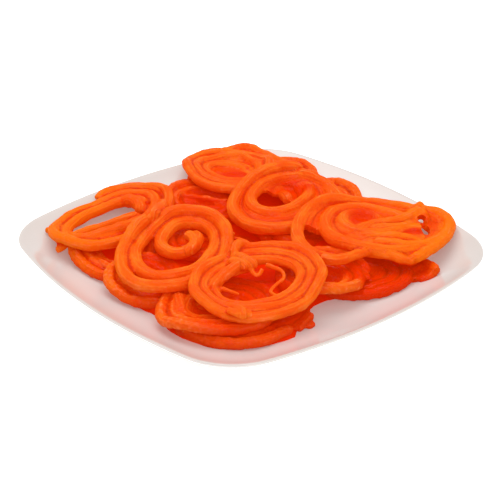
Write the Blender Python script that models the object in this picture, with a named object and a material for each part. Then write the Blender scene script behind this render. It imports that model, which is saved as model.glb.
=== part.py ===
"""A plate of jalebi: a rounded square plate, and the piped coils heaped on it.

Run it with: blender --background --python part.py

Each coil of jalebi is one strand of batter piped round and round. Only its plan is given here: where it
lies, the half widths of its outer and inner turns, and how many turns it has. settle() then lays the coils
one after another on the plate and on each other, which gives their heights.

Plans are in millimetres along two level directions: across, and away. The heap is turned by HEAP_TURN on
the plate, whose sides run along X and Y.
"""

import math

import bmesh
import bpy
import numpy as np

MM = 0.001

# The plate: two outlines of one kind, the rim's and the foot's, and the heights between them.
PLATE_SIDE = 254 * MM
PLATE_BOW_RADIUS = 390 * MM
PLATE_CORNER_RADIUS = 44 * MM
FOOT_SIDE = 156 * MM
FOOT_BOW_RADIUS = 300 * MM
FOOT_CORNER_RADIUS = 36 * MM
FOOT_WIDTH = 5 * MM
FOOT_DEPTH = 2 * MM
PLATE_HEIGHT = 25 * MM
WELL_HEIGHT = 6.5 * MM
WALL = 4.5 * MM
RIM_THICKNESS = 3.4 * MM
FLARE_POWER = 1.7
# How far out the plate's loops lie, from 0 over the foot to 1 at the rim.
UPPER_SHARES = (0, 0.25, 0.45, 0.65, 0.82, 0.97)
LOWER_SHARES = (0.7, 0.35, 0.06)
RIM_LOWER_SHARE = 0.99
RECESS_SHARE = 0.03
RIM_WIDEST = 0.35  # how far down the rim's thickness it is widest
SIDE_STEPS = 3
CORNER_STEPS = 6
SHARP_ANGLE = math.radians(50)

# The strands.
HEAP_TURN = math.radians(50)
SEGMENTS_PER_TURN = 16
FULL_SIZE_TURN = 40 * MM
STRAND_SIDES_RESOLUTION = 1
TAIL_STEP = 9 * MM
GAP = 0.35 * MM
PLATE_GAP = 0.6 * MM
END_SHRINK = 0.72
PLAN_SAMPLES = 400
ROUNDING = 0.3  # over how many turns a change from one round to the next is smoothed
POINT_POWER = 3
BEND_PULL = 0.45

# Settling: a coil is first laid down stiff, then sags by LIMPNESS of the way that a limp one would.
LIMPNESS = 0.6
SAG_REACH = 13 * MM
SAG = 0.3 * MM
SAG_ROUNDS = 80
CLIMB = 0.55  # how steeply a strand may climb onto its own coil
OWN_TURN_APART = 3  # in strand widths along the strand: nearer points belong to the same turn
SAMPLES_PER_SEGMENT = 5
STEEPEST = 0.6
GOLDEN = 0.618
SLOPE_ROUNDS = 40
LIFT_ROUNDS = 60
CLEARED = 0.001 * MM

# From the plate up. Each round is a place along the strand, counted in turns from its inner end: the turns,
# the coil's half widths there and its centre there. winding is 1 anticlockwise and -1 clockwise; start is the
# inner end's direction in degrees; lean turns the half widths' directions; point pulls the coil out to a
# point in that direction, by that much; tail is where the strand goes after its last turn, from the coil's
# last centre.
COILS = [
    dict(name="base_front", winding=1, start=30, strand=6.4,
         rounds=[(0, 14, 12, -4, -69), (3.8, 45, 41, -4, -69)]),
    dict(name="base_left", winding=-1, start=200, strand=6.4,
         rounds=[(0, 10, 16, -83, 11), (3.1, 32, 40, -83, 11)]),
    dict(name="base_right", winding=-1, start=60, strand=6.4, tail=[(49, -10)],
         rounds=[(0, 12, 11, 70, -20), (3, 38, 33, 70, -20)]),
    dict(name="base_middle", winding=1, start=60, strand=6.6,
         rounds=[(0, 9, 8, -11, 11), (3.2, 35, 34, -11, 11)]),
    dict(name="base_back_left", winding=1, start=-100, strand=6.4,
         rounds=[(0, 10, 10, -34, 80), (2.4, 29, 29, -34, 80)]),
    dict(name="base_back_right", winding=-1, start=80, strand=6.4,
         rounds=[(0, 15, 18, 52, 73), (1.8, 27, 33, 52, 74)]),
    dict(name="base_back", winding=-1, start=0, strand=6.2,
         rounds=[(0, 9, 10, 22, 106), (2.3, 26, 29, 22, 106)]),
    dict(name="low_left", winding=1, start=120, strand=6.4,
         rounds=[(0, 8, 8, -64, -35), (2.5, 26, 27, -64, -35)]),
    dict(name="low_front", winding=-1, start=170, strand=6.2, point=(225, 8),
         rounds=[(0, 13, 12, -15, -71), (3.1, 36, 35, -15, -71)]),
    dict(name="low_right", winding=-1, start=-60, strand=6.4,
         rounds=[(0, 9, 9, 46, -39), (2.8, 30, 28, 46, -39)]),
    dict(name="low_middle", winding=1, start=0, strand=6.4,
         rounds=[(0, 9, 9, 36, 30), (2.6, 29, 28, 36, 30)]),
    dict(name="low_small", winding=-1, start=150, strand=6.4,
         rounds=[(0, 7, 7, -30, 8), (2.2, 24, 23, -30, 8)]),
    dict(name="low_back", winding=1, start=-100, strand=6.4,
         rounds=[(0, 14, 12, -31, 67), (2.6, 33, 32, -31, 67)]),
    dict(name="top_back", winding=1, start=20, strand=6.2,
         rounds=[(0, 15, 11, -13, 107), (2.9, 34, 35, -13, 107)]),
    dict(name="top_left", winding=1, start=-30, strand=6.2, lean=52,
         rounds=[(0, 33, 13, -94, 31), (1, 41, 22, -93, 32), (2, 49, 31, -92, 34), (2.35, 50, 33, -90, 36)]),
    dict(name="top_left_front", winding=-1, start=0, strand=7.6, lean=72,
         rounds=[(0, 10, 6, -41, -4), (0.6, 18, 13, -42, -5), (1, 26, 17, -41, -4), (1.5, 37, 25, -44, -17),
                 (2, 41, 27, -44, -13), (2.6, 45, 34, -45, -22), (2.85, 45, 34, -45, -21)]),
    dict(name="top_front", winding=1, start=60, strand=5.8, lean=40, tail=[(-14, 22)],
         rounds=[(0, 26, 18, 4, -62), (3, 45, 38, 4, -62)]),
    dict(name="top_middle", winding=-1, start=-10, strand=7.8, lean=50,
         rounds=[(0, 22, 14, 23, 56), (0.6, 25, 17, 22, 56), (1.1, 37, 29, 24, 52), (1.7, 42, 34, 26, 50),
                 (1.9, 42, 34, 26, 50)]),
    dict(name="top_right", winding=1, start=-38, strand=7.8, lean=20,
         rounds=[(0, 8, 7, 74, 20), (1, 24, 19, 79, 18), (1.5, 30, 26, 80, 17), (2, 47, 37, 85, 13),
                 (2.7, 56, 43, 84, 10)]),
]


def corner_of(side, bow_radius, corner_radius):
    """For a square with bowed sides and round corners: how far out a side arc's centre is, how far along X
    and Y a corner arc's centre is, and the polar angle at which the two arcs touch."""
    bow = side / 2 - bow_radius
    reach = bow_radius - corner_radius
    corner = (bow + math.sqrt(2 * reach**2 - bow**2)) / 2
    tangent = math.atan2(corner, corner - bow)
    touch = math.atan2(bow_radius * math.sin(tangent), bow + bow_radius * math.cos(tangent))
    return bow, corner, touch


def outline_radius(angle, side, bow_radius, corner_radius):
    """Distance from the centre to such a square, at a polar angle."""
    bow, corner, touch = corner_of(side, bow_radius, corner_radius)
    angle = np.mod(angle + math.pi / 4, math.pi / 2) - math.pi / 4
    on_side = bow * np.cos(angle) + np.sqrt(bow_radius**2 - (bow * np.sin(angle)) ** 2)
    along = corner * (np.cos(angle) + np.abs(np.sin(angle)))
    apart = corner * (np.cos(angle) - np.abs(np.sin(angle)))
    on_corner = along + np.sqrt(np.maximum(corner_radius**2 - apart**2, 0))
    return np.where(np.abs(angle) < touch, on_side, on_corner)


def rim_radius(angle):
    return outline_radius(angle, PLATE_SIDE, PLATE_BOW_RADIUS, PLATE_CORNER_RADIUS)


def foot_radius(angle):
    return outline_radius(angle, FOOT_SIDE, FOOT_BOW_RADIUS, FOOT_CORNER_RADIUS)


def plate_top(x, y):
    """Height of the plate's upper face at a point."""
    angle = np.arctan2(y, x)
    share = (np.hypot(x, y) - foot_radius(angle)) / (rim_radius(angle) - foot_radius(angle))
    return WELL_HEIGHT + (PLATE_HEIGHT - WELL_HEIGHT) * np.clip(share, 0, 1) ** FLARE_POWER


def add_plate():
    """The plate as closed loops of one outline, from the well over the rim to the foot and its recess."""
    touch = corner_of(PLATE_SIDE, PLATE_BOW_RADIUS, PLATE_CORNER_RADIUS)[2]
    to_corner = np.linspace(0, touch, SIDE_STEPS + 1)[:-1]
    round_corner = np.linspace(touch, math.pi / 4, CORNER_STEPS // 2 + 1)[:-1]
    half = np.concatenate([to_corner, round_corner])
    quarter = np.concatenate([half, [math.pi / 4], math.pi / 2 - half[:0:-1]])
    angles = np.concatenate([quarter + turn * math.pi / 2 for turn in range(4)])

    rise = PLATE_HEIGHT - WELL_HEIGHT
    loops = [(share, WELL_HEIGHT + rise * share**FLARE_POWER) for share in UPPER_SHARES]
    loops.append((1, PLATE_HEIGHT - RIM_THICKNESS * RIM_WIDEST))
    loops.append((RIM_LOWER_SHARE, PLATE_HEIGHT - RIM_THICKNESS))
    for share in LOWER_SHARES:
        loops.append((share, max(FOOT_DEPTH, WELL_HEIGHT - WALL + rise * share**FLARE_POWER)))
    foot_share = FOOT_WIDTH / (PLATE_SIDE / 2 - FOOT_SIDE / 2)
    loops += [(0, 0), (-foot_share, 0), (-foot_share - RECESS_SHARE, FOOT_DEPTH)]

    bm = bmesh.new()
    rings = []
    for share, height in loops:
        radius = foot_radius(angles) + share * (rim_radius(angles) - foot_radius(angles))
        xs, ys = radius * np.cos(angles), radius * np.sin(angles)
        rings.append([bm.verts.new((x, y, height)) for x, y in zip(xs, ys)])
    bm.faces.new(rings[0])
    bm.faces.new(rings[-1][::-1])
    for upper, lower in zip(rings, rings[1:]):
        for i in range(len(angles)):
            bm.faces.new((upper[i - 1], lower[i - 1], lower[i], upper[i]))
    bmesh.ops.recalc_face_normals(bm, faces=bm.faces)
    mesh = bpy.data.meshes.new("plate")
    bm.to_mesh(mesh)
    bm.free()
    mesh.shade_smooth()
    mesh.set_sharp_from_angle(angle=SHARP_ANGLE)
    plate = bpy.data.objects.new("plate", mesh)
    bpy.context.scene.collection.objects.link(plate)
    mesh.materials.append(surface("glazed white", (0.82, 0.8, 0.78), 0.2))


def surface(name, color, roughness):
    """A material with one colour."""
    material = bpy.data.materials.new(name)
    material.use_nodes = True
    shader = material.node_tree.nodes["Principled BSDF"]
    shader.inputs["Base Color"].default_value = (*color, 1)
    shader.inputs["Roughness"].default_value = roughness
    return material


def coil_plan(coil):
    """The strand's line in plan, from its inner end out, in shorter steps where it turns tighter."""
    rounds = np.array(coil["rounds"], float)
    turns = np.linspace(0, rounds[-1, 0], PLAN_SAMPLES)
    theta = math.radians(coil["start"]) + coil["winding"] * turns * 2 * math.pi
    between = np.column_stack([np.interp(turns, rounds[:, 0], rounds[:, k]) for k in range(1, 5)])
    between = rounded_off(between, ROUNDING * PLAN_SAMPLES / rounds[-1, 0])
    half, centre = between[:, :2], between[:, 2:]
    unit = np.column_stack([np.cos(theta), np.sin(theta)])
    lean = math.radians(coil.get("lean", 0))
    plan = (unit * half) @ np.array([[math.cos(lean), math.sin(lean)], [-math.sin(lean), math.cos(lean)]])
    direction, amount = coil.get("point", (0, 0))
    toward = np.array([math.cos(math.radians(direction)), math.sin(math.radians(direction))])
    plan += toward * (amount * np.maximum(unit @ toward, 0)[:, None] ** POINT_POWER)

    steps = np.sqrt(np.hypot(half[:, 0], half[:, 1]) / math.sqrt(2) * MM / FULL_SIZE_TURN)
    done = np.concatenate([[0], np.cumsum((steps[1:] + steps[:-1]) / 2)])
    done *= turns[-1] * SEGMENTS_PER_TURN / (PLAN_SAMPLES - 1)
    places = np.linspace(0, done[-1], round(done[-1]) + 1)
    plan = np.column_stack([np.interp(places, done, (plan + centre)[:, k]) for k in range(2)])
    turned = len(plan)
    for target in coil.get("tail", []):
        plan = np.vstack([plan, tail_points(plan, centre[-1] + np.array(target))])
    return plan * MM, turned


def rounded_off(values, reach):
    """Straight runs of values with their corners rounded, over that many samples either way; ends stay."""
    reach = int(reach)
    weights = np.hanning(2 * reach + 3)[1:-1]
    weights /= weights.sum()
    first = 2 * values[0] - values[reach:0:-1]
    last = 2 * values[-1] - values[-2 : -reach - 2 : -1]
    padded = np.vstack([first, values, last])
    return np.column_stack([np.convolve(padded[:, k], weights, mode="valid") for k in range(values.shape[1])])


def tail_points(plan, target):
    """A bend that leaves the strand along its own direction and ends at the target."""
    start = plan[-1]
    heading = plan[-1] - plan[-2]
    reach = np.hypot(*(target - start))
    pull = start + heading / np.hypot(*heading) * reach * BEND_PULL
    count = max(2, round(reach * MM / TAIL_STEP))
    share = np.linspace(0, 1, count + 1)[1:, None]
    return (1 - share) ** 2 * start + 2 * share * (1 - share) * pull + share**2 * target


def samples_along(points):
    """Points close together along a strand's straight segments, with each one's place in the strand."""
    place = np.linspace(0, len(points) - 1, (len(points) - 1) * SAMPLES_PER_SEGMENT + 1)
    columns = [np.interp(place, np.arange(len(points)), points[:, k]) for k in range(points.shape[1])]
    return np.column_stack(columns), place


def lifts(plan, others, reach):
    """How far above each of the others a strand's point has to stay, and -inf where they are clear."""
    apart = np.hypot(plan[:, None, 0] - others[None, :, 0], plan[:, None, 1] - others[None, :, 1])
    return np.where(apart < reach, np.sqrt(np.maximum(reach**2 - apart**2, 0)), -np.inf)


def settle(plan, turned, radius, laid):
    """Heights for a strand laid on the plate and on the strands already there.

    Only its turned points decide how the coil lies; its tail follows.
    """
    fine, place = samples_along(plan)
    x, y = on_plate(fine)
    step = 1 * MM
    rise_x = (plate_top(x + step, y) - plate_top(x - step, y)) / (2 * step)
    rise_y = (plate_top(x, y + step) - plate_top(x, y - step)) / (2 * step)
    floor = plate_top(x, y) + (radius + PLATE_GAP) * np.sqrt(1 + rise_x**2 + rise_y**2)
    for other, other_radius in laid:
        over = lifts(fine, other, radius + other_radius + GAP)
        floor = np.maximum(floor, (over + other[None, :, 2]).max(axis=1))

    coiled = place <= turned - 1
    plane = resting_plane(fine[coiled], floor[coiled])
    stiff = np.maximum(plane[0] + fine @ plane[1:], floor)
    apart = np.hypot(fine[:, None, 0] - fine[None, :, 0], fine[:, None, 1] - fine[None, :, 1])
    weight = np.exp(-0.5 * (apart / SAG_REACH) ** 2)
    weight /= weight.sum(axis=1, keepdims=True)
    limp = stiff.copy()
    for _ in range(SAG_ROUNDS):
        limp = np.maximum(weight @ limp - SAG, floor)
    height = stiff * (1 - LIMPNESS) + limp * LIMPNESS

    travel = np.concatenate([[0], np.cumsum(np.hypot(*np.diff(fine, axis=0).T))])
    between = np.abs(travel[:, None] - travel[None, :])
    reach = 2 * radius + GAP
    earlier = travel[:, None] - travel[None, :] > OWN_TURN_APART * reach
    own = np.where(earlier, lifts(fine, fine, reach), -np.inf)
    lift = np.maximum((own + height[None, :]).max(axis=1) - height, 0)
    height = height + (lift[None, :] - CLIMB * between).max(axis=1).clip(0)
    return vertex_heights(height, place, floor, own)


def resting_plane(plan, floor):
    """The plane on which the flat coil touches the floor with its centre as low as it can be."""
    centre = plan.mean(axis=0)
    plan = plan - centre

    def height_at_centre(slope_x, slope_y):
        return (floor - plan @ np.array([slope_x, slope_y])).max()

    def lowest(function):
        low, high = -STEEPEST, STEEPEST
        for _ in range(SLOPE_ROUNDS):
            left = high - (high - low) * GOLDEN
            right = low + (high - low) * GOLDEN
            low, high = (low, right) if function(left) < function(right) else (left, high)
        return (low + high) / 2

    def best_y(slope_x):
        return lowest(lambda slope_y: height_at_centre(slope_x, slope_y))

    slope_x = lowest(lambda slope: height_at_centre(slope, best_y(slope)))
    slope_y = best_y(slope_x)
    slope = np.array([slope_x, slope_y])
    return np.array([height_at_centre(*slope) - centre @ slope, *slope])


def vertex_heights(height, place, floor, own):
    """Heights at the strand's own points, raised until every sample between them is clear."""
    count = int(round(place[-1])) + 1
    low = np.minimum(np.floor(place).astype(int), count - 2)
    part = place - low
    at = height[::SAMPLES_PER_SEGMENT].copy()
    for _ in range(LIFT_ROUNDS):
        now = at[low] * (1 - part) + at[low + 1] * part
        need = np.maximum(floor, (own + now[None, :]).max(axis=1)) - now
        if need.max() < CLEARED:
            break
        lift = np.zeros(count)
        np.maximum.at(lift, low, np.maximum(need, 0) * (1 - part))
        np.maximum.at(lift, low + 1, np.maximum(need, 0) * part)
        at += lift
    return at


def on_plate(plan):
    """Plan positions turned from the heap's directions to the plate's X and Y."""
    c, s = math.cos(HEAP_TURN), math.sin(HEAP_TURN)
    return plan[:, 0] * c - plan[:, 1] * s, plan[:, 0] * s + plan[:, 1] * c


def add_strand(name, points, radius, material):
    """One strand as a round tube through its points, a little slimmer at its two ends."""
    curve = bpy.data.curves.new(name, "CURVE")
    curve.dimensions = "3D"
    curve.bevel_depth = radius
    curve.bevel_resolution = STRAND_SIDES_RESOLUTION
    curve.use_fill_caps = True
    spline = curve.splines.new("POLY")
    spline.points.add(len(points) - 1)
    for k, point in enumerate(points):
        spline.points[k].co = (*point, 1)
    spline.points[0].radius = END_SHRINK
    spline.points[len(points) - 1].radius = END_SHRINK
    curve.materials.append(material)
    strand = bpy.data.objects.new(name, curve)
    bpy.context.scene.collection.objects.link(strand)


def main():
    for obj in list(bpy.data.objects):
        bpy.data.objects.remove(obj)
    add_plate()
    syrup_orange = surface("fried batter in syrup", (0.89, 0.12, 0.008), 0.3)
    laid = []
    for coil in COILS:
        plan, turned = coil_plan(coil)
        radius = coil["strand"] / 2 * MM
        height = settle(plan, turned, radius, laid)
        x, y = on_plate(plan)
        add_strand(coil["name"], np.column_stack([x, y, height]), radius, syrup_orange)
        laid.append((samples_along(np.column_stack([plan, height]))[0], radius))


main()
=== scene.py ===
import math

import bmesh
import bpy
import numpy as np
from mathutils import Matrix, Vector, bvhtree, kdtree, noise


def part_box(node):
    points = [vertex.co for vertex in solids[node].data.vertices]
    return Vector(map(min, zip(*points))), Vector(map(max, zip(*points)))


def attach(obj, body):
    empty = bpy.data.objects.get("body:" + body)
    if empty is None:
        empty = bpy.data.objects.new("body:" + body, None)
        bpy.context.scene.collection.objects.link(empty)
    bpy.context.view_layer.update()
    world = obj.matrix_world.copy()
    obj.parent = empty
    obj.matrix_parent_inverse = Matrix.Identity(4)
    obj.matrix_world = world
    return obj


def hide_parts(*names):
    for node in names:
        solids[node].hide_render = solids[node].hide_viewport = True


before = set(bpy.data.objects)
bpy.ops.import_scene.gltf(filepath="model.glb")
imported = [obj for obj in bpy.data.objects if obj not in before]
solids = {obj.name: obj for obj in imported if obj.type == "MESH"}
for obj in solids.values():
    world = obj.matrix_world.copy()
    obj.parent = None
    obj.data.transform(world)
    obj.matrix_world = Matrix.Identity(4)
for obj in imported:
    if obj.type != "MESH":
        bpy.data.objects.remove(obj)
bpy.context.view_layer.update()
mm = 0.001
weld = 0.005 * mm  # corners nearer than this are one


# meshes

def newMesh(name, bm):
    mesh = bpy.data.meshes.new(name)
    bm.to_mesh(mesh)
    bm.free()
    return mesh


def newObject(name, data):
    piece = bpy.data.objects.new(name, data)
    bpy.context.scene.collection.objects.link(piece)
    return piece


def evaluated(piece):  # the mesh that a piece's modifiers or bevel give, with the piece itself removed
    bpy.context.view_layer.update()
    mesh = bpy.data.meshes.new_from_object(piece.evaluated_get(bpy.context.evaluated_depsgraph_get()))
    bpy.data.objects.remove(piece)
    return mesh


def joined(name, meshes):  # one mesh of several, which are used up
    bm = bmesh.new()
    for mesh in meshes:
        bm.from_mesh(mesh)
        bpy.data.meshes.remove(mesh)
    return newMesh(name, bm)


def coordinates(mesh):
    flat = np.empty(len(mesh.vertices) * 3, np.float32)
    mesh.vertices.foreach_get("co", flat)
    return flat.reshape(-1, 3).astype(float)


def directions(mesh):
    flat = np.empty(len(mesh.vertices) * 3, np.float32)
    mesh.vertex_normals.foreach_get("vector", flat)
    return flat.reshape(-1, 3)


def movedTo(mesh, places):
    mesh.vertices.foreach_set("co", places.ravel().astype(np.float32))
    mesh.update()


def storeValue(mesh, name, values):  # one number a corner, which a material reads
    attribute = mesh.attributes.new(name, "FLOAT", "POINT")
    attribute.data.foreach_set("value", np.asarray(values, np.float32))


def wave(place, seed):  # smooth noise from -1 to 1 along a line
    return np.array([noise.noise(Vector((p, seed * 7.31, seed * 3.17))) for p in place])


# the heap's own directions, across and away

heapTurn = math.radians(50)  # from X and Y
across = Vector((math.cos(heapTurn), math.sin(heapTurn), 0))
away = Vector((-math.sin(heapTurn), math.cos(heapTurn), 0))


def heapPlace(u, v, z):
    return across * u + away * v + Vector((0, 0, z))


# the frame's solids, and the strands' lines in them

def weldedSolid(node):
    bm = bmesh.new()
    bm.from_mesh(solids[node].data)
    bmesh.ops.remove_doubles(bm, verts=bm.verts, dist=weld)
    bm.verts.index_update()
    return bm


def cornerPlaces(corners):  # in the same order each run
    return np.array([corner.co for corner in sorted(corners, key=lambda corner: corner.index)])


def flatPatches(bm, angle):  # groups of faces that lie in one plane and touch
    taken = set()
    for first in bm.faces:
        if first in taken:
            continue
        taken.add(first)
        patch = [first]
        for face in patch:
            for other in (other for edge in face.edges for other in edge.link_faces if other not in taken):
                if other.normal.angle(face.normal) < angle:
                    taken.add(other)
                    patch.append(other)
        yield patch


def strandLine(node):
    # a strand's solid is a row of six-cornered rings between two caps: walking it from a cap gives its centres
    bm = weldedSolid(node)
    for patch in flatPatches(bm, math.radians(0.5)):
        cap = {corner for face in patch for corner in face.verts}
        places = cornerPlaces(cap)
        reach = np.linalg.norm(places - places.mean(axis=0), axis=1)
        if len(cap) == 6 and np.ptp(reach) < 0.05 * reach.mean():
            break
    ring, seen, rings = cap, set(cap), []
    while ring:
        rings.append(cornerPlaces(ring))
        ring = {edge.other_vert(corner) for corner in ring for edge in corner.link_edges} - seen
        seen |= ring
    bm.free()
    centres = np.array([corners.mean(axis=0) for corners in rings])
    middle = rings[len(rings) // 2]
    radius = np.linalg.norm(middle - middle.mean(axis=0), axis=1).mean()
    heart = centres.mean(axis=0)
    if np.linalg.norm(centres[0] - heart) > np.linalg.norm(centres[-1] - heart):
        centres = centres[::-1]
    return centres, radius


def resampled(points, step):  # a smooth line through the points, with even steps; more columns ride along
    points = np.asarray(points)
    padded = np.vstack([2 * points[0] - points[1], points, 2 * points[-1] - points[-2]])
    share = np.linspace(0, 1, 9)[:-1, None]
    pieces = []
    for a, b, c, d in zip(padded, padded[1:], padded[2:], padded[3:]):
        pieces.append(0.5 * (2 * b + (c - a) * share + (2 * a - 5 * b + 4 * c - d) * share**2
                             + (3 * b - a - 3 * c + d) * share**3))
    line = np.vstack([*pieces, points[-1:]])
    travel = np.concatenate([[0], np.cumsum(np.linalg.norm(np.diff(line[:, :3], axis=0), axis=1))])
    even = np.linspace(0, travel[-1], max(2, round(travel[-1] / step) + 1))
    return np.column_stack([np.interp(even, travel, line[:, k]) for k in range(points.shape[1])]), even


def softened(values, reach):  # averaged along a line over a number of steps either way
    weights = np.hanning(2 * reach + 3)[1:-1]
    weights /= weights.sum()
    padded = np.pad(values, ((reach, reach), (0, 0)), mode="edge")
    return np.column_stack([np.convolve(padded[:, k], weights, mode="valid") for k in range(values.shape[1])])


bm = weldedSolid("plate")
plateTree = bvhtree.BVHTree.FromBMesh(bm)
bm.free()


def plateTops(places):  # the height of the plate's upper face under each place, or -1 beside the plate
    tops = np.full(len(places), -1.0)
    for k, (x, y) in enumerate(places[:, :2].tolist()):
        hit = plateTree.ray_cast((x, y, 0.1), (0, 0, -1))[0]
        if hit:
            tops[k] = hit.z
    return tops


sunkenBy = 1.5 * mm  # how far food may reach into the plate's wall, where it isn't seen
plateReach = 30 * mm  # above this height nothing can touch the plate


def liftedOntoPlate(mesh):  # what would come out under the plate is drawn up into its wall
    places = coordinates(mesh)
    low = places[:, 2] < plateReach
    places[low, 2] = np.maximum(places[low, 2], plateTops(places[low]) - sunkenBy)
    movedTo(mesh, places)


def nearest(points, others):  # each point's distance to the nearest of the others, in plan
    found = np.full(len(points), np.inf)
    for start in range(0, len(others), 200):
        block = others[start : start + 200]
        apart = np.hypot(points[:, None, 0] - block[:, 0], points[:, None, 1] - block[:, 1])
        found = np.minimum(found, apart.min(axis=1))
    return found


def apartFrom(points, u, v):  # each point's distance to a place of the heap, in plan, all in mm but the points
    x, y, _ = heapPlace(u * mm, v * mm, 0)
    return np.hypot(points[:, 0] - x, points[:, 1] - y) / mm


def gridOver(lines, step, margin):  # a flat grid of squares over the lines, with a margin
    low, high = lines[:, :2].min(axis=0) - margin, lines[:, :2].max(axis=0) + margin
    span, middle = high - low, (low + high) / 2
    bm = bmesh.new()
    bmesh.ops.create_grid(bm, x_segments=round(span[0] / step), y_segments=round(span[1] / step), size=0.5,
                          matrix=Matrix.Translation((*middle, 0)) @ Matrix.Diagonal((*span, 1, 1)))
    return bm, np.array([corner.co[:2] for corner in bm.verts])


def depthInside(grid, lines, bridge, step):
    # how deep each place lies in the area that the lines cover when gaps up to twice the bridge are closed
    apart = nearest(grid, lines)
    outside = grid[(apart > bridge) & (apart < bridge + 1.5 * step)]
    return np.where(apart < bridge, nearest(grid, outside), 0) - bridge


def sheetMesh(name, bm, keep, tops, thick):  # the kept part of the grid at the given heights, made solid downwards
    for corner, top in zip(bm.verts, tops):
        corner.co.z = top
    bmesh.ops.delete(bm, geom=[corner for corner, kept in zip(bm.verts, keep) if not kept], context="VERTS")
    bmesh.ops.delete(bm, geom=[corner for corner in bm.verts if not corner.link_faces], context="VERTS")
    piece = newObject(name, newMesh(name, bm))
    solid = piece.modifiers.new("thick", "SOLIDIFY")
    solid.thickness = thick
    solid.offset = -1
    return evaluated(piece)


def roundEnds(radii, travel):  # radii that run out to a round tip at either end
    fromEnd = np.minimum(travel, travel[-1] - travel)
    return radii * np.sqrt(np.clip(1 - (1 - np.clip(fromEnd / radii, 0, 1)) ** 2, 0.05, 1))


def tube(line, radii):  # a round strand of changing thickness
    curve = bpy.data.curves.new("tube", "CURVE")
    curve.dimensions = "3D"
    curve.bevel_depth = mm
    curve.bevel_resolution = 4
    curve.use_fill_caps = True
    spline = curve.splines.new("POLY")
    spline.points.add(len(line) - 1)
    spline.points.foreach_set("co", np.column_stack([line, np.ones(len(line))]).ravel())
    spline.points.foreach_set("radius", np.asarray(radii) / mm)
    return evaluated(newObject("tube", curve))


def fused(name, meshes, voxel, fillet):
    # swollen strands meet and become one skin, which shrinks back with soft grooves between them
    piece = newObject(name, joined(name, meshes))
    remesh = piece.modifiers.new("remesh", "REMESH")
    remesh.mode = "VOXEL"
    remesh.voxel_size = voxel
    smooth = piece.modifiers.new("smooth", "SMOOTH")
    smooth.factor = 0.5
    smooth.iterations = 4
    shrink = piece.modifiers.new("shrink", "DISPLACE")
    shrink.strength = -fillet
    shrink.mid_level = 0
    again = piece.modifiers.new("smooth again", "SMOOTH")
    again.factor = 0.5
    again.iterations = 3
    return evaluated(piece)


def creases(mesh, rounds):
    # how far each point lies inside its smoothed surroundings: above 0 in grooves, below on ridges
    edges = np.empty(len(mesh.edges) * 2, np.int32)
    mesh.edges.foreach_get("vertices", edges)
    one, two = edges.reshape(-1, 2).T
    places = coordinates(mesh)
    count = np.bincount(one, minlength=len(places)) + np.bincount(two, minlength=len(places))
    flowing = places.copy()
    for _ in range(rounds):
        total = [np.bincount(one, flowing[two, k], len(places)) + np.bincount(two, flowing[one, k], len(places))
                 for k in range(3)]
        flowing = 0.5 * flowing + 0.5 * np.array(total).T / count[:, None]
    return ((flowing - places) * directions(mesh)).sum(axis=1)


def besideStrands(places, lines):
    # each place's distance from the nearest strand's line, and how far to the line's side it lies
    ahead = np.vstack([np.gradient(line, axis=0) for line in lines])
    ahead /= np.linalg.norm(ahead, axis=1)[:, None]
    points = np.vstack(lines)
    tree = kdtree.KDTree(len(points))
    for k, point in enumerate(points.tolist()):
        tree.insert(point, k)
    tree.balance()
    found = np.array([tree.find(place)[1] for place in places.tolist()])
    offset, ahead = places - points[found], ahead[found]
    apart = np.linalg.norm(np.cross(offset, ahead), axis=1)
    return apart, offset[:, 0] * ahead[:, 1] - offset[:, 1] * ahead[:, 0]


# the jalebis, each a strand laid in a coil; all in mm, from the plate's middle

coilLooks = {
    "step": 1.2,  # along a strand
    "softened": 6,  # steps either way over which a strand's corners are rounded off
    "wander": 0.45,
    "wanderLength": 24,
    "unevenness": 0.1,  # of the strand's thickness
    "unevenLength": 15,
    "taper": 12,  # over how long the outer end thins and sinks into its neighbour
    "creaseRounds": 12,  # more find wider grooves
    "webStep": 0.8,
    "webMargin": 1,
    "webBlend": 5,  # how far a strand's height counts in the web beside it
    "webbedFrom": 2.5,  # thinner strokes stand free
    "redFrom": 0.9,  # the web is redder than the strands from this share of their radius on, partly steeped in syrup and partly painted shade between the strands
    # how much of the deeper red the web between the strands gets, partly steeped syrup and partly painted shade
    "webSoakedShaded": 0.5,
    "litSidesFrom": (60, 115),  # how far to the sides of the heap a painted highlight makes the batter lighter and more yellow
    "soakedShadedFrom": (7, 22),  # heights between which the batter turns redder downwards, partly steeped in syrup and partly painted shade
    # hollows under the upper coils, below a height, painted a deeper red, partly syrup that gathers there and partly
    # painted shade: across, away, radius, how much
    "soakedShadedBelow": 24,
    "soakedShadedSpots": [(4, -60, 30, 0.9), (-48, -30, 26, 0.8), (56, -6, 26, 0.9), (80, -24, 26, 0.9), (20, 60, 26, 0.8),
                    (-31, 64, 24, 0.7), (-12, 30, 20, 0.6)],
}

# what a coil has besides its strand:
#   swell, how much thicker its strand is drawn, and fillet, how softly strands run together
#   thinned, the outer end's share of the thickness, and shortened, how much of that end is left out
#   bridge, half the widest gap that its web of batter closes, sag, how deep the web hangs, and webThick
#   lumps, how far apart and how high, and how red it is, partly steeped in syrup and partly painted shade
#   bends, each (across, away, by across, by away, up, reach)
#   holes in the web, each (across, away, radius), and red patches, each (across, away, radius, how much), some real
#   discolouring and some painted shade in dark hollows
#   strokes, each a line of (across, away, height, radius)
plainCoil = {"thinned": 0.55, "shortened": 0, "bends": [], "holes": [], "stainsAndShade": [], "strokes": []}
lowCoil = {**plainCoil, "swell": 1.12, "fillet": 1.5, "voxel": 0.75, "soakedShaded": 0.1,
           "bridge": 12, "sag": 1, "webThick": 1.6, "lumps": ((9, 0.5), (4.5, 0.4), (2.4, 0.35))}
topCoil = {**plainCoil, "swell": 1.13, "fillet": 0.9, "voxel": 0.55, "soakedShaded": 0,
           "bridge": 6, "sag": 0.5, "webThick": 2, "lumps": ((9, 0.4), (4, 0.24), (2, 0.08))}

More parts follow.
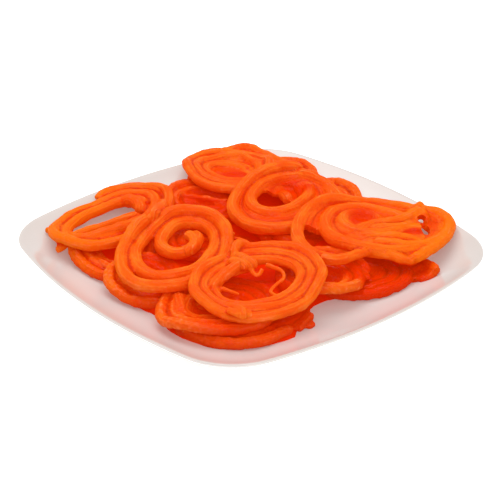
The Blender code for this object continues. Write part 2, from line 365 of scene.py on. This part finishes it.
coils = {
    "base_front": {**lowCoil, "soakedShaded": 0.15, "bends": [(26, -96, -2, 8, -1, 14)], "strokes": [
        [(28, -88, 10, 2.6), (33, -81, 11, 3), (38, -72, 12, 2.8)],
        [(34, -84, 9, 2), (40, -79, 9.5, 2.2)],
        [(-44, -90, 9, 3.2), (-32, -99, 9, 3.6), (-17, -105, 9, 3.6), (-2, -106, 9, 3.2)],
    ]},
    "base_left": {**lowCoil, "strokes": [
        [(-101, 0, 13, 2.8), (-95, -11, 14, 3), (-87, -19, 14, 2.6)],
    ]},
    "base_right": {**lowCoil, "bridge": 22, "sag": 0.2, "webThick": 3, "soakedShaded": 0.3, "fillet": 2.4, "strokes": [
        [(103, -21, 11, 3), (110, -16, 12, 3.2), (117, -19, 14, 3), (117, -25, 15, 2.8), (112, -29, 13, 2.8),
         (105, -30, 11, 2.8)],
        [(62, -28, 11, 5), (72, -20, 12, 6), (80, -14, 12, 5)],
    ]},
    "base_middle": {**lowCoil, "soakedShaded": 0.9},
    "base_back_left": lowCoil,
    "base_back_right": {**lowCoil, "fillet": 1.1, "bridge": 4},
    "base_back": lowCoil,
    "low_left": {**lowCoil, "strokes": [
        [(-85, -41, 12, 2.6), (-81, -44, 12, 3), (-77, -47, 12, 2.6)],
    ]},
    "low_front": {**lowCoil, "bridge": 18, "stainsAndShade": [(-12, -112, 22, 0.35)], "strokes": [
        [(-43, -62, 19, 4), (-41, -76, 19, 4.4), (-38, -90, 18, 4.4), (-35, -102, 16, 3.6)],
    ]},
    "low_right": {**lowCoil, "bridge": 14, "sag": 2, "strokes": [
        [(69, -34, 17, 2.8), (73, -36, 17, 2.4), (77, -37, 17, 2)],
        [(48, -15, 19, 2.4), (54, -23, 19, 2.6), (57, -31, 18, 2.2)],
    ]},
    "low_middle": {**lowCoil, "soakedShaded": 0.4},
    "low_small": {**lowCoil, "soakedShaded": 0.4},
    "low_back": {**lowCoil, "soakedShaded": 0.3, "bridge": 22, "sag": 2.5, "strokes": [
        [(-50, 74, 21, 2.4), (-37, 71, 21, 2.2), (-25, 66, 21, 2.2), (-13, 63, 21, 2.4)],
    ]},
    "top_back": {
        **topCoil, "bridge": 16, "sag": 1.5, "bends": [(-13, 104, 0, -10, 0, 16)],
        "holes": [(4, 111, 1.6), (22, 110, 1.7), (-36, 95, 1.5), (25, 94, 1.2)],
        "stainsAndShade": [(-9, 93, 9, 0.7), (1, 94, 5, 0.5)],
        "strokes": [
            [(-41, 101, 28, 3), (-32, 115, 28, 3.2), (-19, 124, 28.5, 3.2), (-6, 125, 29, 3), (2, 116, 29, 2.8),
             (10, 110, 28.5, 2.6), (16, 100, 28, 2.6)],
            [(-22, 133, 27, 3.6), (-9, 140, 27, 3.8), (1, 142, 27, 3.6), (9, 134, 26.5, 3.4), (18, 128, 25, 3.2),
             (26, 120, 24, 3.2), (33, 110, 24, 3)],
            [(13, 133, 25, 3), (20, 125, 25, 2.8), (27, 116, 25, 2.8), (33, 106, 25, 2.8)],
        ],
    },
    "top_left": {**topCoil, "swell": 1.2, "fillet": 1.2, "bridge": 3, "shortened": 16,
                 "bends": [(-113, 62, 3, -4, -1, 12)], "stainsAndShade": [(-95, 24, 9, 0.25)], "strokes": [
        [(-72, 40, 25, 4), (-73, 48, 25, 4.4), (-78, 55, 25.5, 4.8), (-86, 58, 25.5, 4.4)],
        [(-116, 4, 24, 4.2), (-105, 1, 24, 4.6), (-94, 8, 24.5, 4.8), (-82, 16, 25, 4.8), (-70, 27, 26, 4.2)],
        [(-124, 17, 23, 3), (-130, 21, 21, 2.2), (-134, 24, 20, 2.4)],
        [(-117, 5, 21, 3), (-121, 0, 19, 2.2), (-125, -2, 18, 2.4)],
        [(-117, 9, 22, 2.6), (-108, 13, 23.5, 2.8), (-100, 18, 24, 3), (-91, 23.5, 24.5, 3), (-83, 29, 25, 3),
         (-73, 36, 25.5, 2.8)],
    ]},
    "top_left_front": {**topCoil, "stainsAndShade": [(-44, -6, 6, 0.3)], "strokes": [
        [(-40, 4, 27, 3.4), (-36, -4, 28, 3.2), (-34.5, -13, 28.5, 2.8), (-37, -20, 28, 2.3)],
        [(-64, 9, 37, 4.2), (-60, 21, 35, 4.2), (-57, 34, 32, 4), (-58, 46, 29, 3.4)],
        [(-18, 14, 27, 1.5), (-14, 9, 28, 1.7), (-9, 2, 27, 1.4)],
        [(-10, 0, 26, 1.4), (-5, -5, 27, 1.7), (1, -9, 26, 1.4)],
    ]},
    "top_front": {**topCoil, "strokes": [
        [(-3, -46, 33, 3.4), (-11, -53, 31.5, 3.6), (-19, -63, 30, 3.4), (-23, -72, 29, 3.2)],
        [(10, -42, 29, 1.8), (14, -45, 29.5, 1.5), (20, -50, 29, 1.4), (21, -57, 28, 1.3), (16, -64, 27, 1.2),
         (13, -71, 26.5, 1.1), (16, -77, 27, 1.4)],
        [(1, -49, 31, 1.5), (3, -55, 29.5, 1.1), (6, -56, 29.5, 1.1), (8, -50, 31, 1.5)],
        [(-17, -69, 28, 1.6), (-11, -72, 27, 1.1), (-5, -74, 26, 0.9)],
        [(-8, -99, 32, 2.6), (-4, -104, 32, 3.2), (-3, -110, 31, 3)],
        [(-13, -100, 31, 2), (-5, -106, 31.5, 2.4), (3, -105, 31, 2)],
        [(-11, -37, 33, 3), (-6, -41, 34, 3.6), (0, -46, 33, 4.2), (5, -50, 32, 3.4)],
        [(-13, -43, 32.5, 2.6), (-6, -47, 33, 3.4), (0, -52, 32, 2.8)],
    ]},
    "top_middle": {**topCoil, "bridge": 13, "sag": 1.5, "holes": [(16, 54, 9), (10, 50, 6)],
                   "stainsAndShade": [(33, 66, 12, 0.6), (22, 70, 9, 0.3)], "strokes": [
        [(22, 68, 26, 3.4), (25, 60, 27, 4.2), (28, 52, 26, 3.6)],
        [(34, 85, 34, 3.6), (44, 79, 33, 3.6), (53, 70, 31.5, 3.6), (60, 58, 30, 3.4), (62, 46, 29, 3)],
    ]},
    "top_right": {
        **topCoil, "thinned": 1, "bridge": 17, "sag": 1.2, "webThick": 4,
        "bends": [(92, 54, 0, -6, -1.5, 22), (45, -24, -5, -4, 0, 13), (117, 47, -2, -7, 0, 15)],
        "holes": [(45, -12, 9), (55, -17, 10), (65, -17, 8), (37, -1, 6), (41, -7, 8.5),
                  # a row of small ones makes a slit
                  (112.3, 19.5, 1.3), (112.9, 18.2, 1.5), (113.4, 17, 1.6), (113.8, 15.5, 1.7), (114.1, 14, 1.7),
                  (114.3, 12.5, 1.7), (114.3, 11, 1.7), (114.2, 9.5, 1.6), (114, 8, 1.5), (113.7, 6.5, 1.4)],
        "stainsAndShade": [(74, 22, 10, 0.6), (105, 1, 6, 0.5), (100, -28, 6, 0.3)],
        "strokes": [
            [(44, -31, 29, 4.3), (50, -34, 28.7, 3.9), (58, -32, 28, 3.5), (66, -26, 27.5, 3.1), (75, -21, 27, 2.8)],
            [(71, 3, 29, 3), (80, 13, 30, 2.8), (91, 14, 30.5, 3), (103, 21, 31, 3.2), (113, 32, 31, 3)],
            [(80, 7, 29.5, 2.6), (93, 8, 30, 2.6), (103, 11, 30, 2.2)],
            [(111, 35, 31, 2.8), (115, 42, 31, 2.4)],
            [(130, 17, 26, 3.6), (126, 2, 26, 3.8), (118, -10, 25.5, 3.8), (109, -20, 25, 3.6), (100, -27, 24, 3)],
            [(70, -1, 28, 3.4), (82, -4, 29, 4), (95, -5, 29, 3.8), (106, -4, 27.5, 2.8)],
            [(78, -10, 28, 3.4), (91, -13, 28, 4), (104, -13, 27, 3.6), (113, -9, 26, 3)],
            [(66, -16, 26, 3), (77, -19, 25.5, 3.2), (88, -22, 25, 3.2), (97, -26, 24, 3), (104, -29, 23, 2.6)],
        ],
    },
}


strokeLooks = {"step": 1, "wander": 0.5, "wanderLength": 9, "unevenness": 0.15, "unevenLength": 6}


def strokeLine(points):
    looks = strokeLooks
    points = np.array(points, float) * mm
    places = np.array([heapPlace(*point) for point in points[:, :3]])
    drawn, travel = resampled(np.column_stack([places, points[:, 3]]), looks["step"] * mm)
    seed = points[0].sum() / mm
    drawn[:, 2] += looks["wander"] * mm * wave(travel / (looks["wanderLength"] * mm), seed)
    uneven = looks["unevenness"] * wave(travel / (looks["unevenLength"] * mm), seed + 3)
    return drawn[:, :3], roundEnds(drawn[:, 3] * (1 + uneven), travel)


def webMesh(lines, own, fillet):  # the batter that closes the gaps between a coil's turns
    step = coilLooks["webStep"] * mm
    bridge = own["bridge"] * mm
    bm, grid = gridOver(lines, step, bridge + 2 * step)
    keep = depthInside(grid, lines, bridge, step) > -coilLooks["webMargin"] * mm
    for u, v, radius in own["holes"]:
        keep &= apartFrom(grid, u, v) > radius
    apart = np.hypot(grid[:, None, 0] - lines[:, 0], grid[:, None, 1] - lines[:, 1])
    weights = np.exp(-((apart / (coilLooks["webBlend"] * mm)) ** 2)) + 1e-9
    tops = (weights * lines[:, 2]).sum(axis=1) / weights.sum(axis=1)
    tops -= own["sag"] * mm * (1 - np.exp(-((apart.min(axis=1) / (coilLooks["webBlend"] * mm)) ** 2)))
    thick = own["webThick"] * mm + 2 * fillet
    return sheetMesh("web", bm, keep, tops + thick / 2, thick)


def bent(line, bends):  # the line moved near each bend's place
    for u, v, overU, overV, up, reach in bends:
        weight = np.exp(-0.5 * (apartFrom(line, u, v) / reach) ** 2)
        line = line + weight[:, None] * np.array(heapPlace(overU * mm, overV * mm, up * mm))
    return line


def lumpy(mesh, lumps, seed):  # pushes the surface in and out by smooth noise
    places = coordinates(mesh)
    push = np.zeros(len(places))
    for apart, high in lumps:
        scaled = (places / (apart * mm) + seed * 9.7).tolist()
        push += high * mm * np.array([noise.noise(place) for place in scaled])
    movedTo(mesh, places + push[:, None] * directions(mesh))


# how red the batter is: partly steeped in syrup, partly painted shade lower down and under the upper coils
def soakedShadedShare(places, stainsAndShade):
    heights = places[:, 2] / mm
    low, high = coilLooks["soakedShadedFrom"]
    share = 0.5 * np.clip((high - heights) / (high - low), 0, 1)
    below = np.clip((coilLooks["soakedShadedBelow"] - heights) / 3, 0, 1)
    # red patches: partly real discolouring, partly painted shade in dark hollows
    spots = [(*spot, below) for spot in coilLooks["soakedShadedSpots"]] + [(*redPatch, 1) for redPatch in stainsAndShade]
    for u, v, radius, much, counts in spots:
        share += much * counts * np.exp(-((apartFrom(places, u, v) / radius) ** 4))
    return share


def coilStrand(node, own, seed):  # the solid's strand, drawn as unevenly as a hand pipes it
    centres, radius = strandLine(node)
    line, travel = resampled(centres, coilLooks["step"] * mm)
    kept = travel <= travel[-1] - own["shortened"] * mm
    line, travel = line[kept], travel[kept]
    line = bent(softened(line, coilLooks["softened"]), own["bends"])
    wander = coilLooks["wander"] * mm
    for k, much in enumerate((wander, wander, wander * 0.4)):
        line[:, k] += much * wave(travel / (coilLooks["wanderLength"] * mm), seed + 0.37 * k)
    uneven = wave(travel / (coilLooks["unevenLength"] * mm), seed + 5)
    left = np.clip((travel[-1] - travel) / (coilLooks["taper"] * mm), 0, 1)
    thinned = own["thinned"] + (1 - own["thinned"]) * left * (2 - left)
    radii = radius * own["swell"] * (1 + coilLooks["unevenness"] * uneven) * thinned
    line[:, 2] -= radius * (1 - thinned)
    return line, roundEnds(radii, travel), radius


def coilMesh(node, own, seed):
    line, radii, radius = coilStrand(node, own, seed)
    strands = [(line, radii)] + [strokeLine(stroke) for stroke in own["strokes"]]
    webbed = np.vstack([line[::2] for line, radii in strands if radii.max() > coilLooks["webbedFrom"] * mm])
    fillet = own["fillet"] * mm
    meshes = [tube(line, radii + fillet) for line, radii in strands] + [webMesh(webbed, own, fillet)]
    mesh = fused(node + "_strands", meshes, own["voxel"] * mm, fillet)
    lumpy(mesh, own["lumps"], seed)
    liftedOntoPlate(mesh)
    places = coordinates(mesh)
    apart, aside = besideStrands(places, [line for line, _ in strands])
    between = np.clip(apart / radius - coilLooks["redFrom"], 0, 1)
    outwards = np.abs(places @ np.array(across)) / mm
    # the crease measure drives the painted shade in the creases and the painted highlight on the ridges
    storeValue(mesh, "crease", creases(mesh, coilLooks["creaseRounds"]) / mm)
    storeValue(mesh, "aside", aside / mm)
    # painted highlight: lighter towards the heap's sides
    storeValue(mesh, "litSides", np.clip(np.interp(outwards, coilLooks["litSidesFrom"], (0, 1)), 0, 1))
    storeValue(mesh, "soakedShaded", own["soakedShaded"] + coilLooks["webSoakedShaded"] * between + soakedShadedShare(places, own["stainsAndShade"]))
    return mesh


# materials

class Wire:  # a socket of a material's nodes; arithmetic on it adds Math nodes
    def __init__(self, tree, socket=None):
        self.tree = tree
        self.socket = socket

    def node(self, kind, settings, inputs, output=0):
        made = self.tree.nodes.new(kind)
        for name, value in settings.items():
            setattr(made, name, value)
        for name, value in inputs.items():
            if isinstance(value, Wire):
                self.tree.links.new(value.socket, made.inputs[name])
            else:
                made.inputs[name].default_value = value
        return Wire(self.tree, made.outputs[output])

    def math(self, operation, *operands):
        return self.node("ShaderNodeMath", {"operation": operation}, dict(enumerate(operands)))

    def __add__(self, other):
        return self.math("ADD", self, other)

    def __sub__(self, other):
        return self.math("SUBTRACT", self, other)

    def __mul__(self, other):
        return self.math("MULTIPLY", self, other)

    def __radd__(self, other):
        return self.math("ADD", other, self)

    def __rsub__(self, other):
        return self.math("SUBTRACT", other, self)

    def __rmul__(self, other):
        return self.math("MULTIPLY", other, self)

    def between(self, low, high):  # 0 at low, 1 at high, smooth and kept within
        return self.node("ShaderNodeMapRange", {"interpolation_type": "SMOOTHSTEP"},
                         {"Value": self, "From Min": low, "From Max": high})

    def mixed(self, first, second):  # colours, by this share
        return self.node("ShaderNodeMix", {"data_type": "RGBA"}, {0: self, 6: first, 7: second}, 2)

    def stored(self, name):
        return self.node("ShaderNodeAttribute", {"attribute_name": name}, {}, "Fac")

    def place(self):
        return self.node("ShaderNodeTexCoord", {}, {}, "Object")

    def noise(self, scale, detail):  # over the place that this socket gives
        return self.node("ShaderNodeTexNoise", {}, {"Vector": self, "Scale": scale, "Detail": detail}, "Fac")

    def feed(self, socket):
        self.tree.links.new(self.socket, socket)


def relief(shader, height, distance, strength):
    bump = height.node("ShaderNodeBump", {}, {"Height": height, "Distance": distance * mm, "Strength": strength})
    bump.feed(shader.inputs["Normal"])


def newMaterial(name, constants):
    material = bpy.data.materials.new(name)
    material.use_nodes = True
    shader = material.node_tree.nodes["Principled BSDF"]
    for socket, value in constants.items():
        shader.inputs[socket].default_value = value
    return material, shader, Wire(material.node_tree)


batterLooks = {
    "streaks": 0.9,  # how close the fine lines along a strand lie, per mm
    "drawnOut": 40,  # how fast they change along it, per m
    "patches": (55, 3),  # scale and detail, as below
    "fine": (420, 4),
    "relief": (1.2, 0.8),  # height in mm, and strength
    "ridge": (0.72, 0.083, 0.004, 1),
    "creaseShade": (0.64, 0.032, 0.0006, 1),
    "pale": (0.76, 0.14, 0.008, 1),
    "ridgeHighlight": (0.85, 0.19, 0.05, 1),
    "soakedShaded": (0.61, 0.023, 0.0004, 1),
    "litSides": (0.76, 0.145, 0.004, 1),
    "constants": {
        "Subsurface Weight": 0.3,
        "Subsurface Radius": (1, 0.2, 0.05),
        "Subsurface Scale": 2.5 * mm,
        "Specular IOR Level": 0,
        "Coat Weight": 0.1,
        "Coat Roughness": 0.1,
        "Roughness": 0.5,
        # a painted glow: deep red light given off by the batter lifts its shade
        "Emission Color": (1, 0.06, 0, 1),
        "Emission Strength": 0.13,
    },
}


def batterMaterial(looks):
    material, shader, wires = newMaterial("fried batter in syrup", looks["constants"])
    place = wires.place()
    crease, soakedShaded, litSides, aside = (wires.stored(name) for name in ("crease", "soakedShaded", "litSides", "aside"))
    patches, fine = place.noise(*looks["patches"]), place.noise(*looks["fine"])
    strand = wires.node("ShaderNodeCombineXYZ", {}, {"X": aside * looks["streaks"]}, "Vector")
    drawn = wires.node("ShaderNodeVectorMath", {"operation": "MULTIPLY_ADD"},
                       {0: place, 1: (looks["drawnOut"],) * 3, 2: strand}, "Vector")
    streak = drawn.noise(1, 2)
    surface = (patches + (streak - 0.5) * 0.7).between(0.38, 0.68).mixed(looks["ridge"], looks["pale"])
    # painted highlight: the batter turns lighter and more yellow towards the heap's sides
    surface = (litSides * (patches + 0.3)).between(0, 0.9).mixed(surface, looks["litSides"])
    # painted highlight: pale thin lines along the ridges of the strands
    surface = ((0 - crease) * 4 + (streak - 0.5) * 2).between(0.3, 1.2).mixed(surface, looks["ridgeHighlight"])
    # partly syrup taken up and partly painted shade: a deeper red lower down, under the upper coils and in the web
    # between the strands
    surface = (soakedShaded + patches * 0.3 - 0.15).between(0, 0.8).mixed(surface, looks["soakedShaded"])
    # painted shade: a deeper red in the creases between strands
    color = (crease + (fine - 0.5) * 0.2 + (0.5 - streak) * 0.25).between(0, 0.4).mixed(surface, looks["creaseShade"])
    color.feed(shader.inputs["Base Color"])
    relief(shader, fine * 0.9 + patches + streak * 1.4, *looks["relief"])
    return material


batter = batterMaterial(batterLooks)

faces = 0
for seed, (node, own) in enumerate(coils.items()):
    mesh = coilMesh(node, own, seed)
    mesh.shade_smooth()
    mesh.materials.append(batter)
    piece = newObject(node + "_jalebi", mesh)
    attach(piece, "root")
    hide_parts(node)
    faces += len(mesh.polygons)
print("coils:", faces, "faces")


# syrup and soaked crumbs, which fill the heap from the plate up to its lower coils, a deep red mass that is partly
# syrup and partly painted shade in the holes between the coils

syrupAndShadeLooks = {
    "coils": ("base_front", "base_left", "base_right", "base_middle", "base_back_left", "low_front", "low_left",
              "low_small", "low_middle", "low_right"),
    "step": 1.5,
    "bridge": 24,  # half the widest gap between strands that it fills
    "drawn": 22,  # how far it draws back at its edge
    "slope": 14,  # over how long it rises to its full depth
    "depth": 9,
    "ripple": 1.5,
    "rippleLength": 16,
    "well": 6.5,  # height of the plate's inner floor over the ground
    "under": 2,  # how far it starts below that floor
    "over": -1.2,  # it is left out where it lies deeper than this in the plate
    "thick": 2,
    "voxel": 1,
    "bays": [(60, -70, 23), (78, -69, 22), (47, -74, 15)],  # where it stays away: across, away, radius
    # where it stands higher, so that the holes above show its deep red, partly painted shade: across, away, radius,
    # height
    "mounds": [(18, 78, 24, 12), (14, 50, 16, 15), (-31, 67, 16, 10), (-10, 42, 16, 10), (56, 3, 22, 15),
               (80, -18, 24, 8), (5, -60, 24, 13), (-50, -28, 22, 11), (-85, 18, 20, 7)],
    "lumps": (160, 3),  # scale and detail
    "relief": (1.5, 0.6),
    "constants": {
        # its deep red stands partly for syrup and partly for the shade in the holes
        "Base Color": (0.64, 0.02, 0.0004, 1),
        "Roughness": 0.5,
        "Specular IOR Level": 0,
        "Coat Weight": 0.04,
        "Coat Roughness": 0.1,
        # a painted glow: deep red light given off by the syrup lifts the shade in the holes
        "Emission Color": (1, 0.03, 0, 1),
        "Emission Strength": 0.18,
        "Subsurface Weight": 0.3,
        "Subsurface Radius": (1, 0.15, 0.03),
        "Subsurface Scale": 3 * mm,
    },
}


def syrupAndShadeMesh(looks):
    step, bridge = looks["step"] * mm, looks["bridge"] * mm
    lines = np.vstack([resampled(strandLine(node)[0], 4 * mm)[0] for node in looks["coils"]])  # coarse is enough
    bm, grid = gridOver(lines, step, bridge + 2 * step)
    inward = depthInside(grid, lines, bridge, step) + (looks["bridge"] - looks["drawn"]) * mm
    for u, v, radius in looks["bays"]:
        inward = np.minimum(inward, (apartFrom(grid, u, v) - radius) * mm)
    share = np.clip(inward / (looks["slope"] * mm), 0, 1)
    ripple = np.array([noise.noise(Vector((x, y, 4.2))) for x, y in grid / (looks["rippleLength"] * mm)])
    height = looks["depth"] * share * (2 - share)
    for u, v, radius, high in looks["mounds"]:
        dome = 1.4 * (1 - (apartFrom(grid, u, v) / radius) ** 2)  # flat on top
        height = np.maximum(height, high * np.clip(dome, 0, 1))
    height = height + looks["ripple"] * share * ripple - looks["under"]
    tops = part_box("plate")[0][2] + (looks["well"] + height) * mm
    keep = (height > 0.01 - looks["under"]) & (tops > plateTops(grid) + looks["over"] * mm)
    sheet = sheetMesh("syrup", bm, keep, tops, looks["thick"] * mm)
    mesh = fused("syrup", [sheet], looks["voxel"] * mm, 0)
    liftedOntoPlate(mesh)
    return mesh


def syrupAndShadeMaterial(looks):
    material, shader, wires = newMaterial("syrup", looks["constants"])
    relief(shader, wires.place().noise(*looks["lumps"]), *looks["relief"])
    return material


mesh = syrupAndShadeMesh(syrupAndShadeLooks)
mesh.shade_smooth()
mesh.materials.append(syrupAndShadeMaterial(syrupAndShadeLooks))
syrup = newObject("syrup_and_shade_fill", mesh)
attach(syrup, "root")
print("syrup:", len(mesh.polygons), "faces")


# the plate

plateLooks = {
    "well": (0.5, 0.51, 0.495, 1),
    "rim": (0.43, 0.385, 0.36, 1),
    "rimFrom": (14, 25),  # heights between which the glaze turns from one to the other, painted shade that darkens the plate towards its upper edge
    "waves": (28, 2),
    "relief": (0.5, 0.2),
    # the emission is a painted warm glow that lightens the shade on the plate
    "constants": {"Roughness": 0.22, "Coat Weight": 0.3, "Coat Roughness": 0.08,
                  "Emission Color": (1, 0.88, 0.81, 1), "Emission Strength": 0.19},
}


def glazeMaterial(looks):
    material, shader, wires = newMaterial("white glaze", looks["constants"])
    place = wires.place()
    height = wires.node("ShaderNodeSeparateXYZ", {}, {"Vector": place}, "Z")
    low, high = looks["rimFrom"]
    # painted shade: the glaze turns darker and warmer towards the plate's upper edge
    color = height.between(low * mm, high * mm).mixed(looks["well"], looks["rim"])
    color.feed(shader.inputs["Base Color"])
    relief(shader, place.noise(*looks["waves"]), *looks["relief"])
    return material


bm = weldedSolid("plate")
bmesh.ops.join_triangles(bm, faces=bm.faces, angle_face_threshold=math.radians(40),
                         angle_shape_threshold=math.radians(60))
bmesh.ops.dissolve_limit(bm, angle_limit=math.radians(0.2), verts=bm.verts, edges=bm.edges)
plateMesh = newMesh("plate", bm)
plate = newObject("plate_glazed", plateMesh)
subdivision = plate.modifiers.new("smooth", "SUBSURF")
subdivision.levels = subdivision.render_levels = 3
plateMesh.shade_smooth()
plateMesh.materials.append(glazeMaterial(plateLooks))
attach(plate, "root")
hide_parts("plate")
print("plate done")


# floor, light and camera

floorLooks = {"Base Color": (0.93, 0.93, 0.93, 1), "Roughness": 0.8,
              "Emission Color": (1, 1, 1, 1), "Emission Strength": 0.35}

bm = bmesh.new()
bmesh.ops.create_grid(bm, x_segments=1, y_segments=1, size=3)
floor = newObject("floor", newMesh("floor", bm))
floor.data.materials.append(newMaterial("pale floor", floorLooks)[0])

studio = {
    "world": 0.78,
    "overhead": {"place": (-0.15, 0.25, 1.05), "size": 1.1, "power": 7},
    "front": {"place": (0.25, -1.0, 0.8), "size": 0.9, "power": 4},
}

world = bpy.data.worlds.new("studio")
bpy.context.scene.world = world
world.use_nodes = True
world.node_tree.nodes["Background"].inputs["Color"].default_value = (1, 1, 1, 1)
world.node_tree.nodes["Background"].inputs["Strength"].default_value = studio["world"]


def softLight(name, place, size, power):
    light = bpy.data.lights.new(name, "AREA")
    light.shape = "DISK"
    light.size = size
    light.energy = power
    lamp = newObject(name, light)
    lamp.location = heapPlace(*place)
    lamp.rotation_mode = "QUATERNION"
    lamp.rotation_quaternion = lamp.location.to_track_quat("Z", "Y")


softLight("overhead", **studio["overhead"])
softLight("front", **studio["front"])

cameraLooks = {"azimuth": 50, "elevation": 27.75, "distance": 0.92, "target": (0, 0, 0.015), "lens": 102.7,
               "shift": (0.002, 0.0068)}
azimuth, elevation = math.radians(cameraLooks["azimuth"]), math.radians(cameraLooks["elevation"])
back = Vector((math.sin(azimuth) * math.cos(elevation), -math.cos(azimuth) * math.cos(elevation),
               math.sin(elevation)))
camera = newObject("camera", bpy.data.cameras.new("camera"))
camera.location = Vector(cameraLooks["target"]) + back * cameraLooks["distance"]
camera.rotation_mode = "QUATERNION"
camera.rotation_quaternion = back.to_track_quat("Z", "Y")
camera.data.lens = cameraLooks["lens"]
camera.data.sensor_width = 36
camera.data.shift_x, camera.data.shift_y = cameraLooks["shift"]
bpy.context.scene.camera = camera
bpy.context.scene.view_settings.view_transform = "Standard"
print("light and camera done")
